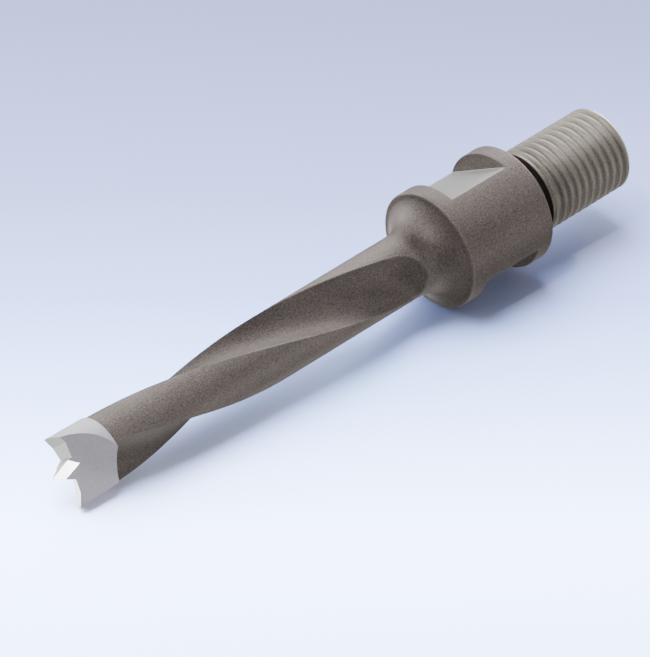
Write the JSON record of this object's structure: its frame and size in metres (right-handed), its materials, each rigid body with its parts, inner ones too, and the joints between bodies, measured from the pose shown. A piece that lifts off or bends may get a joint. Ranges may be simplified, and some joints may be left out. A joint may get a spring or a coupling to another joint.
{
  "type": "dowel drill bit",
  "caption": "Dowel drill bit with helical flutes, a brazed carbide head with centre point and scoring spurs, a collar with wrench flats, and a threaded shank.",
  "frame": {"origin": "on the drill's axis, in the end face of the threaded shank, on which the drill stands", "axes": "+Z along the axis, from the threaded shank up to the cutting tip; +Y out of one wrench flat"},
  "size_m": [0.014, 0.014, 0.0817],
  "materials": {
    "steel": "fine-blasted and burnished brown-grey steel, satin",
    "carbide": "ground tungsten carbide, pale grey with bright facets"
  },
  "bodies": {
    "root": {"steel_body": "steel", "carbide_head": "carbide"}
  },
  "joints": []
}
